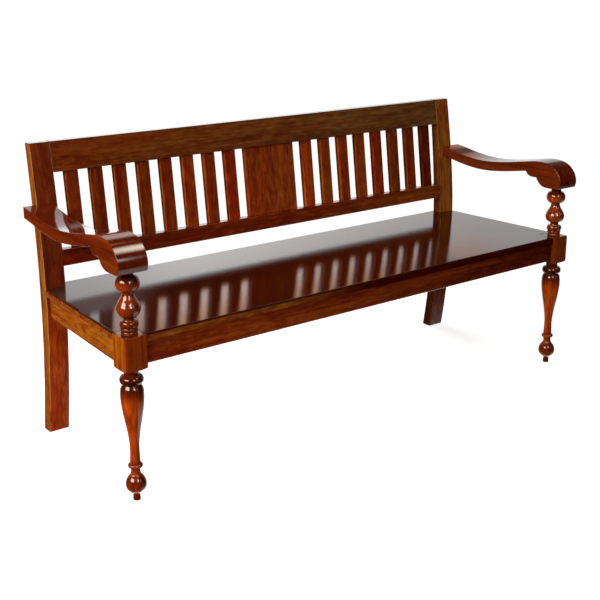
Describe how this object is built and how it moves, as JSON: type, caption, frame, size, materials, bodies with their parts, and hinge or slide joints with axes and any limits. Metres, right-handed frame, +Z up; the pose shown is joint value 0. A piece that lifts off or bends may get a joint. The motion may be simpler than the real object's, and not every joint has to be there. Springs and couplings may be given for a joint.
{
  "type": "deacons bench",
  "caption": "Long wooden bench with a plank seat, a slatted back round a wide centre board, scrolled arms, turned front legs and curved rear posts.",
  "frame": {"origin": "on the floor, under the middle of the bench's bounding box", "axes": "+X to the right seen from the front, along the length; +Y from the front to the back; +Z up"},
  "size_m": [1.692, 0.5902, 0.856],
  "materials": {
    "mahogany": "red-brown mahogany stain under gloss lacquer",
    "screw_steel": "plain zinc-plated steel"
  },
  "bodies": {
    "root": {"front_leg_left": "mahogany", "front_leg_right": "mahogany", "rear_post_left": "mahogany", "rear_post_right": "mahogany", "arm_left": "mahogany", "arm_right": "mahogany", "back_centre_board": "mahogany", "slat_left_1": "mahogany", "slat_left_2": "mahogany", "slat_left_3": "mahogany", "slat_left_4": "mahogany", "slat_left_5": "mahogany", "slat_left_6": "mahogany", "slat_left_7": "mahogany", "slat_left_8": "mahogany", "slat_right_1": "mahogany", "slat_right_2": "mahogany", "slat_right_3": "mahogany", "slat_right_4": "mahogany", "slat_right_5": "mahogany", "slat_right_6": "mahogany", "slat_right_7": "mahogany", "slat_right_8": "mahogany", "back_bottom_rail": "mahogany", "back_top_rail": "mahogany", "seat_board_1": "mahogany", "seat_board_2": "mahogany", "seat_board_3": "mahogany", "seat_board_4": "mahogany", "seat_bearer_left": "mahogany", "seat_bearer_centre": "mahogany", "seat_bearer_right": "mahogany", "front_apron": "mahogany", "rear_apron": "mahogany", "side_apron_left": "mahogany", "side_apron_right": "mahogany", "corner_block_front_left": "mahogany", "corner_block_front_right": "mahogany", "corner_block_rear_left": "mahogany", "corner_block_rear_right": "mahogany", "front_left_corner_screw_apron": "screw_steel", "front_left_corner_screw_side": "screw_steel", "rear_left_corner_screw_apron": "screw_steel", "rear_left_corner_screw_side": "screw_steel", "front_right_corner_screw_apron": "screw_steel", "front_right_corner_screw_side": "screw_steel", "rear_right_corner_screw_apron": "screw_steel", "rear_right_corner_screw_side": "screw_steel", "seat_screw_left_front": "screw_steel", "seat_screw_left_rear": "screw_steel", "seat_screw_centre_front": "screw_steel", "seat_screw_centre_rear": "screw_steel", "seat_screw_right_front": "screw_steel", "seat_screw_right_rear": "screw_steel", "left_arm_screw": "screw_steel", "right_arm_screw": "screw_steel", "left_arm_screw_plug": "mahogany", "right_arm_screw_plug": "mahogany"}
  },
  "joints": []
}
